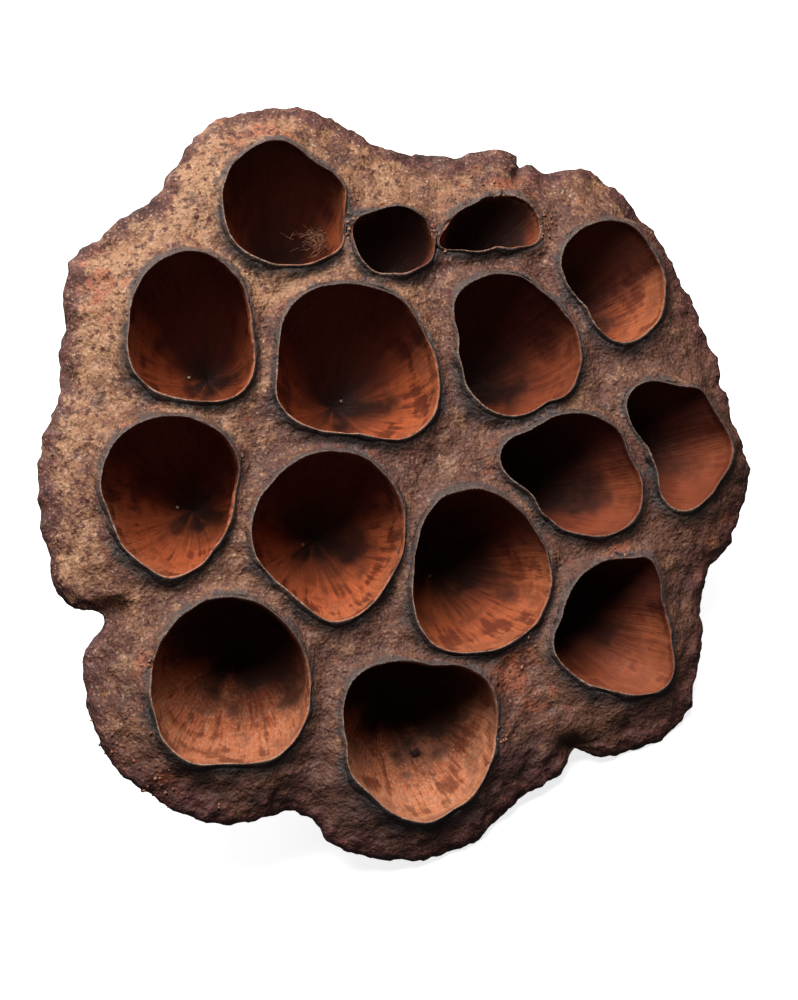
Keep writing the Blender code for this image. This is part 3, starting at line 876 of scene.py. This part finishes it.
def roughen(mesh, height, size, shift=0.0, octaves=1):
    """Moves each point of a mesh in or out by noise of a height, with lumps of a size."""
    places = read_places(mesh)
    bumps = lumps(places, size, shift, octaves)
    place_points(mesh, places + read_places(mesh, "normal") * height * bumps[:, None])


scars_shape = bmesh.new()
for x, y, z in scar_places:
    moved = Matrix.Translation((x, y, z + SCAR_REACH - SCAR_SINK))
    bmesh.ops.create_icosphere(scars_shape, subdivisions=3, radius=SCAR_REACH, matrix=moved)
scars = piece_from("seed_scars", scars_shape)
roughen(scars.data, SCAR_ROUGH, 0.15)
lay_down(scars.data)

bead, tree, shader = new_material("pale_scar_bead")
speckle = cloudy(tree, in_millimetres(tree), 0.12)
colour = mixed(tree, step(tree, speckle, 0.4, 0.6), SCAR_BROWN, CREAM)
tree.links.new(colour, shader.inputs["Base Color"])
tree.links.new(step(tree, speckle, 0.3, 0.7, 0.4, 0.7), shader.inputs["Roughness"])
scars.data.materials.append(bead)
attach(scars, "root")


# The crumbs: dry skin and lip that flaked where the mouths tore and the rim wore, and stayed stuck on.
# Each group: its middle, how far it spreads, and how many crumbs.
CRUMB_GROUPS = (
    ((10.9, 30.0), 1.6, 64), ((15.4, 26.9), 1.0, 34), ((7.9, 29.2), 0.8, 12), ((-5.0, 25.7), 0.6, 12),
    ((4.3, 25.3), 0.7, 14), ((23.4, -6.7), 0.9, 16), ((-22.4, -30.0), 1.6, 26), ((10.5, -25.6), 0.7, 12),
    ((-24.6, -18.6), 0.6, 9), ((-27.0, -26.5), 1.4, 12), ((14.0, -18.0), 1.5, 10),
)
CRUMB_LEAST, CRUMB_MOST, CRUMB_SINK, CRUMB_ROUGH = 0.08, 0.24, 0.3, 0.09
CRUMB_PALE, CRUMB_DARK = (0.24, 0.12, 0.065), (0.07, 0.03, 0.026)

chance = random.Random(15)
on_top = np.flatnonzero((skin_places[:, 2] > -5.5) & (mouth_distance(skin_places)[0] > 0.3))
crumbs_shape = bmesh.new()
for middle, spread, count in CRUMB_GROUPS:
    for _ in range(count):
        aim = (middle[0] + chance.gauss(0.0, spread), middle[1] + chance.gauss(0.0, spread))
        spot = skin_places[on_top[np.argmin(np.sum((skin_places[on_top, :2] - aim) ** 2, axis=1))]]
        size = chance.uniform(CRUMB_LEAST, CRUMB_MOST)
        angle = chance.uniform(0.0, math.tau)
        axis = Vector((chance.random(), 1.0, chance.random()))
        turn = Matrix.Rotation(angle, 4, axis)
        width = size * chance.uniform(0.5, 1.0)
        thickness = size * chance.uniform(0.4, 0.8)
        flat_crumb = Matrix.Diagonal((size, width, thickness, 1.0))
        moved = Matrix.Translation(Vector(spot) + Vector((0.0, 0.0, size * CRUMB_SINK))) @ turn @ flat_crumb
        bmesh.ops.create_icosphere(crumbs_shape, subdivisions=2, radius=1.0, matrix=moved)
crumbs = piece_from("rim_crumbs", crumbs_shape)
roughen(crumbs.data, CRUMB_ROUGH, 0.16, 2.0, 2)
lay_down(crumbs.data)

flaky, tree, shader = new_material("rusty_crumbs")
place = in_millimetres(tree)
colour = mixed(tree, step(tree, cloudy(tree, place, 1.1, 1.0), 0.4, 0.6), RUST, CRUMB_PALE)
colour = mixed(tree, step(tree, cloudy(tree, place, 0.5, 2.0), 0.45, 0.62), colour, CRUMB_DARK)
tree.links.new(colour, shader.inputs["Base Color"])
tree.links.new(step(tree, cloudy(tree, place, 0.2), 0.3, 0.7, 0.6, 0.9), shader.inputs["Roughness"])
crumbs.data.materials.append(flaky)
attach(crumbs, "root")


# The tuft: bristly fibres of the first cup's torn lining. They are still rooted in its wall, about two
# thirds of the way down, and stand out from it in a curling bunch.
TUFT_PLACE, TUFT_SPREAD, TUFT_LENGTH = (-5.75, 25.65, -8.09), (0.75, 0.6, 0.6), 1.1
TUFT_FIBRES, TUFT_STEPS, TUFT_RADIUS, TUFT_CURL, TUFT_TAPER = 190, 6, 0.03, 0.7, 0.7
STRAW_DARK, STRAW_PALE = (0.13, 0.052, 0.028), (0.34, 0.16, 0.085)

tuft_curve = bpy.data.curves.new("torn_fibres", "CURVE")
tuft_curve.dimensions = "3D"
tuft_curve.bevel_depth = TUFT_RADIUS
tuft_curve.bevel_resolution = 1
tuft_curve.use_fill_caps = True
for _ in range(TUFT_FIBRES):
    root = Vector([chance.gauss(at, spread) for at, spread in zip(TUFT_PLACE, TUFT_SPREAD)])
    heading = Vector((-1.0, chance.uniform(-0.8, 0.8), chance.uniform(0.1, 1.1))).normalized()
    curl = Vector([chance.uniform(-TUFT_CURL, TUFT_CURL) for _ in range(3)])
    length = TUFT_LENGTH * chance.uniform(0.5, 1.0)
    fibre = tuft_curve.splines.new("POLY")
    fibre.points.add(TUFT_STEPS - 1)
    for k, point in enumerate(fibre.points):
        part = k / (TUFT_STEPS - 1)
        point.co = (*(root + length * (heading * part + curl * part * part)), 1.0)
        point.radius = 1.0 - TUFT_TAPER * part
tuft = bpy.data.objects.new("torn_fibres", tuft_curve)
bpy.context.scene.collection.objects.link(tuft)
tuft_mesh = bpy.data.meshes.new_from_object(tuft.evaluated_get(bpy.context.evaluated_depsgraph_get()))
bpy.data.objects.remove(tuft)
tuft_shape = bmesh.new()
tuft_shape.from_mesh(tuft_mesh)
bmesh.ops.remove_doubles(tuft_shape, verts=tuft_shape.verts, dist=0.001)
tuft = piece_from("torn_fibres", tuft_shape)
lay_down(tuft.data)

straw, tree, shader = new_material("straw_fibres")
speckle = cloudy(tree, in_millimetres(tree), 0.4, 2.0)
colour = mixed(tree, step(tree, speckle, 0.35, 0.65), STRAW_DARK, STRAW_PALE)
tree.links.new(colour, shader.inputs["Base Color"])
tree.links.new(step(tree, speckle, 0.3, 0.7, 0.5, 0.8), shader.inputs["Roughness"])
tuft.data.materials.append(straw)
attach(tuft, "root")


# The ground: a plain white surface, far wider than the view. It shines a little itself, and throws no
# light back on to the pod, so that its shadow is faint and the cups stay dark.
GROUND = 4.0
GROUND_WHITE, GROUND_SHINE = 0.5, 0.8
ground_shape = bmesh.new()
bmesh.ops.create_grid(ground_shape, x_segments=1, y_segments=1, size=GROUND / 2.0)
ground = piece_from("ground", ground_shape)
white, tree, shader = new_material("white_ground")
shader.inputs["Base Color"].default_value = (GROUND_WHITE, GROUND_WHITE, GROUND_WHITE, 1.0)
shader.inputs["Roughness"].default_value = 0.9
shader.inputs["Emission Color"].default_value = (1.0, 1.0, 1.0, 1.0)
shader.inputs["Emission Strength"].default_value = GROUND_SHINE
ground.data.materials.append(white)
ground.visible_diffuse = False
ground.visible_glossy = False


# The light: a broad lamp overhead, towards the top of the face, a weaker one behind the pod that
# reaches only its cone, and a dim even sky.
LAMPS = (
    ("broad_lamp", (0.0, -0.08, 0.66), 0.44, 10.5),
    ("back_lamp", (-0.25, 0.62, 0.36), 0.5, 4.0),
)
SKY_STRENGTH = 0.09

for name, lamp_place, size, power in LAMPS:
    lamp_data = bpy.data.lights.new(name, "AREA")
    lamp_data.size = size
    lamp_data.energy = power
    lamp = bpy.data.objects.new(name, lamp_data)
    lamp.location = lamp_place
    lamp.rotation_euler = Vector(lamp_place).to_track_quat("Z", "Y").to_euler()
    bpy.context.scene.collection.objects.link(lamp)

sky = bpy.data.worlds.new("pale_sky")
sky.use_nodes = True
sky.node_tree.nodes["Background"].inputs["Color"].default_value = (1.0, 1.0, 1.0, 1.0)
sky.node_tree.nodes["Background"].inputs["Strength"].default_value = SKY_STRENGTH
bpy.context.scene.world = sky
bpy.context.scene.view_settings.view_transform = "Standard"


# The camera: it looks down on the face from about 36 cm away, held a little askew.
CAMERA_PLACE = (-0.253, -286.437, 241.133)
CAMERA_ELEVATION, CAMERA_ROLL = 37.235, -16.19
CAMERA_LENS, CAMERA_SENSOR = 84.0, 24.0

camera_data = bpy.data.cameras.new("camera")
camera_data.lens = CAMERA_LENS
camera_data.sensor_width = CAMERA_SENSOR
camera = bpy.data.objects.new("camera", camera_data)
camera.matrix_world = (
    Matrix.Translation(Vector(CAMERA_PLACE) * MM)
    @ Matrix.Rotation(math.radians(90.0 - CAMERA_ELEVATION), 4, "X")
    @ Matrix.Rotation(math.radians(CAMERA_ROLL), 4, "Z")
)
bpy.context.scene.collection.objects.link(camera)
bpy.context.scene.camera = camera
